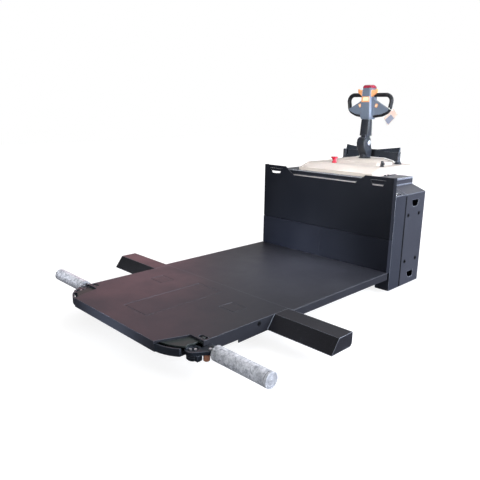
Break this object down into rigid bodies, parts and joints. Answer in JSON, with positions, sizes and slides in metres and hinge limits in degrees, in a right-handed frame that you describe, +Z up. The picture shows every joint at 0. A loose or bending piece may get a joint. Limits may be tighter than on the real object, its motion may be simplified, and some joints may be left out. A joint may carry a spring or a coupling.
{
  "type": "electric vehicle mover",
  "caption": "Low deck with swing-out roller arms and fixed cross arms that hold a car's tyres, driven by a battery power unit with a tiller.",
  "frame": {"origin": "on the floor under the middle of the overall length and width, arms out and tiller upright", "axes": "+X across the machine, +Y towards the tiller end, +Z up; the rollers are at the -Y end"},
  "size_m": [1.762, 2.29, 1.297],
  "materials": {
    "deck_paint": "satin textured powder coat",
    "tray_paint": "satin",
    "frame_paint": "satin",
    "panel_paint": "satin",
    "tower_paint": "satin",
    "arm_paint": "satin",
    "chrome_steel": "polished",
    "pin_steel": "zinc plated",
    "galvanised_steel": "hot dip galvanised, mottled",
    "bush_brass": "turned bronze",
    "battery_case": "plain",
    "shelf_paint": "satin",
    "hood_plastic": "moulded, semi-gloss",
    "latch_plastic": "moulded",
    "red_plastic": "moulded",
    "head_plastic": "moulded, fine grain",
    "grip_rubber": "soft grip",
    "control_plastic": "moulded",
    "casting_paint": "satin",
    "wheel_rubber": "solid tyre",
    "wheel_urethane": "cast polyurethane"
  },
  "bodies": {
    "chassis": {"front_deck": "deck_paint", "hatches": "deck_paint", "corner_trays": "frame_paint", "sector_plates": "tray_paint", "cross_arms": "deck_paint", "belly_plates": "frame_paint", "rear_deck": "deck_paint", "load_forks": "frame_paint", "lower_panels": "panel_paint", "upper_panel": "panel_paint", "panel_shelf": "shelf_paint", "masts": "tower_paint", "side_boxes": "tower_paint", "guide_rollers": "chrome_steel", "chassis_box": "frame_paint", "battery": "battery_case", "drive_skirt": "frame_paint", "frame_plates": "frame_paint", "front_hood": "hood_plastic", "rear_hood": "hood_plastic", "stop_button": "red_plastic", "hood_fittings": "latch_plastic", "guard": "frame_paint"},
    "drive_unit": {"drive_fork": "frame_paint", "tiller_base": "casting_paint"},
    "drive_wheel_body": {"drive_wheel": "wheel_rubber"},
    "tiller": {"tiller_column": "casting_paint", "tiller_head": "head_plastic", "tiller_loop": "grip_rubber", "tiller_cap": "red_plastic", "tiller_controls": "control_plastic"},
    "arm_left": {"swing_arm_left": "arm_paint", "arm_pins_left": "pin_steel", "thrust_bush_left": "bush_brass"},
    "roller_body_left": {"roller_left": "galvanised_steel"},
    "load_wheel_body_left": {"load_wheel_left": "wheel_urethane"},
    "caster_left": {"caster_fork_left": "pin_steel"},
    "caster_wheel_body_left": {"caster_wheel_left": "wheel_urethane"},
    "arm_right": {"swing_arm_right": "arm_paint", "arm_pins_right": "pin_steel", "thrust_bush_right": "bush_brass"},
    "roller_body_right": {"roller_right": "galvanised_steel"},
    "load_wheel_body_right": {"load_wheel_right": "wheel_urethane"},
    "caster_right": {"caster_fork_right": "pin_steel"},
    "caster_wheel_body_right": {"caster_wheel_right": "wheel_urethane"}
  },
  "joints": [
    {"name": "arm_swing_right", "type": "hinge", "parent": "chassis", "child": "arm_right", "pos_m": [0.492, -1.039, 0.11], "axis": [0, 0, 1], "range_deg": [-90, 0]},
    {"name": "roller_spin_right", "type": "hinge", "parent": "arm_right", "child": "roller_body_right", "pos_m": [0.7, -0.97, 0.113], "axis": [1, 0, 0], "continuous": true},
    {"name": "load_wheel_spin_right", "type": "hinge", "parent": "chassis", "child": "load_wheel_body_right", "pos_m": [0.301, -0.623, 0.042], "axis": [1, 0, 0], "continuous": true},
    {"name": "caster_swivel_right", "type": "hinge", "parent": "chassis", "child": "caster_right", "pos_m": [0.212, 1.05, 0.1], "axis": [0, 0, 1], "continuous": true},
    {"name": "caster_spin_right", "type": "hinge", "parent": "caster_right", "child": "caster_wheel_body_right", "pos_m": [0.212, 1.08, 0.042], "axis": [1, 0, 0], "continuous": true},
    {"name": "arm_swing_left", "type": "hinge", "parent": "chassis", "child": "arm_left", "pos_m": [-0.492, -1.039, 0.11], "axis": [0, 0, -1], "range_deg": [-90, 0]},
    {"name": "roller_spin_left", "type": "hinge", "parent": "arm_left", "child": "roller_body_left", "pos_m": [-0.7, -0.97, 0.113], "axis": [1, 0, 0], "continuous": true},
    {"name": "load_wheel_spin_left", "type": "hinge", "parent": "chassis", "child": "load_wheel_body_left", "pos_m": [-0.301, -0.623, 0.042], "axis": [1, 0, 0], "continuous": true},
    {"name": "caster_swivel_left", "type": "hinge", "parent": "chassis", "child": "caster_left", "pos_m": [-0.212, 1.05, 0.1], "axis": [0, 0, 1], "continuous": true},
    {"name": "caster_spin_left", "type": "hinge", "parent": "caster_left", "child": "caster_wheel_body_left", "pos_m": [-0.212, 1.08, 0.042], "axis": [1, 0, 0], "continuous": true},
    {"name": "steering", "type": "hinge", "parent": "chassis", "child": "drive_unit", "pos_m": [0, 0.967, 0.3], "axis": [0, 0, 1], "range_deg": [-90, 90]},
    {"name": "drive_wheel_spin", "type": "hinge", "parent": "drive_unit", "child": "drive_wheel_body", "pos_m": [0, 0.967, 0.115], "axis": [1, 0, 0], "continuous": true},
    {"name": "tiller_tilt", "type": "hinge", "parent": "drive_unit", "child": "tiller", "pos_m": [0, 0.952, 0.9], "axis": [-1, 0, 0], "range_deg": [0, 78], "stiffness_Nm_per_rad": 22, "springref_deg": -22.92}
  ]
}
